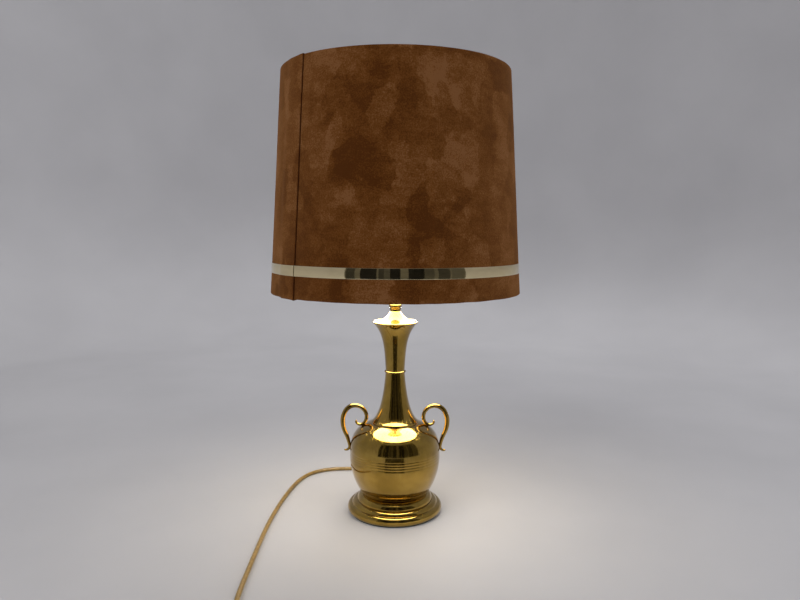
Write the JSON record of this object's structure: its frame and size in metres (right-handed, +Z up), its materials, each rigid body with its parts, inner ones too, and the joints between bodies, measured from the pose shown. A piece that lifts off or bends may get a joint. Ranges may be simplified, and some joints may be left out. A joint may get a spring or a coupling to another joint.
{
  "type": "table lamp",
  "caption": "Electric table lamp: turned brass amphora base with scroll handles on a stepped foot, screw-in bulb, suede drum shade with a gold band, mains cord with inline switch and plug.",
  "frame": {"origin": "on the table, under the middle of the foot", "axes": "+Z up the stem, -Y to the front as pictured, +X to the viewer's right"},
  "size_m": [0.3532, 0.5502, 0.6232],
  "materials": {
    "brass": "polished and lacquered",
    "felt": "felt",
    "iron": "rough cast",
    "zinc_steel": "zinc plated",
    "holder_plastic": "moulded",
    "porcelain": "unglazed",
    "contact_brass": "stamped",
    "bulb_metal": "stamped",
    "bulb_glass": "frosted, lit",
    "tungsten": "glowing wire",
    "suede": "napped suede cloth",
    "lining": "laminated sheet",
    "gold_band": "mirror polished strip",
    "white_wire": "white coated",
    "flex": "gold-brown sheath",
    "core": "insulated",
    "fitting_plastic": "moulded",
    "rocker_plastic": "moulded",
    "tie": "strip"
  },
  "bodies": {
    "lamp": {"centre_contact": "contact_brass", "clamp_screws": "zinc_steel", "collar": "brass", "cord_bush": "fitting_plastic", "cord_clamp": "zinc_steel", "cord_coil": "flex", "cord_lead": "flex", "cord_link": "flex", "cord_tail": "flex", "cord_tie": "tie", "core_live": "core", "core_neutral": "core", "felt_pad": "felt", "flex_end": "flex", "foot": "brass", "foot_weight": "iron", "globe": "brass", "handle_left": "brass", "handle_right": "brass", "holder_cap": "holder_plastic", "holder_insert": "porcelain", "holder_shell": "holder_plastic", "mouth_cap": "brass", "neck_lower": "brass", "neck_ring": "brass", "neck_upper": "brass", "plug_body": "fitting_plastic", "plug_boot": "fitting_plastic", "plug_pins": "contact_brass", "screw_shell": "contact_brass", "stem_nut": "zinc_steel", "stem_tube": "zinc_steel", "stem_washer": "zinc_steel", "switch_base": "fitting_plastic", "switch_contacts": "contact_brass", "switch_cover": "fitting_plastic", "switch_screws": "zinc_steel", "terminal_screws": "zinc_steel"},
    "shade": {"shade_cover": "suede", "shade_lining": "lining", "shade_band": "gold_band", "shade_bottom_wire": "white_wire", "shade_top_wire": "white_wire", "shade_fitter": "white_wire", "shade_spokes": "white_wire"},
    "shade_nut": {"shade_nut": "holder_plastic"},
    "bulb_lift": {"bulb_contact": "contact_brass"},
    "bulb": {"bulb_insulator": "porcelain", "bulb_cap": "bulb_metal", "bulb_glass": "bulb_glass", "bulb_stem": "bulb_glass", "bulb_filament": "tungsten"},
    "rocker": {"switch_rocker": "rocker_plastic"}
  },
  "joints": [
    {"name": "shade_turn", "type": "hinge", "parent": "lamp", "child": "shade", "pos_m": [0, 0, 0.34235], "axis": [0, 0, 1], "continuous": true},
    {"name": "shade_nut_turn", "type": "hinge", "parent": "lamp", "child": "shade_nut", "pos_m": [0, 0, 0.344], "axis": [0, 0, 1], "range_deg": [0, 360]},
    {"name": "bulb_rise", "type": "slide", "parent": "lamp", "child": "bulb_lift", "axis": [0, 0, 1], "range_m": [0, 0.0091]},
    {"name": "bulb_turn", "type": "hinge", "parent": "bulb_lift", "child": "bulb", "pos_m": [0, 0, 0.3385], "axis": [0, 0, 1], "range_deg": [0, 900]},
    {"name": "rocker_tilt", "type": "hinge", "parent": "lamp", "child": "rocker", "pos_m": [-0.088, -0.31, 0.011], "axis": [0, 1, 0], "range_deg": [-16, 0]}
  ],
  "couplings": [
    {"joint": "bulb_rise", "follows": "bulb_turn", "m_per_rad": 0.00057757}
  ]
}
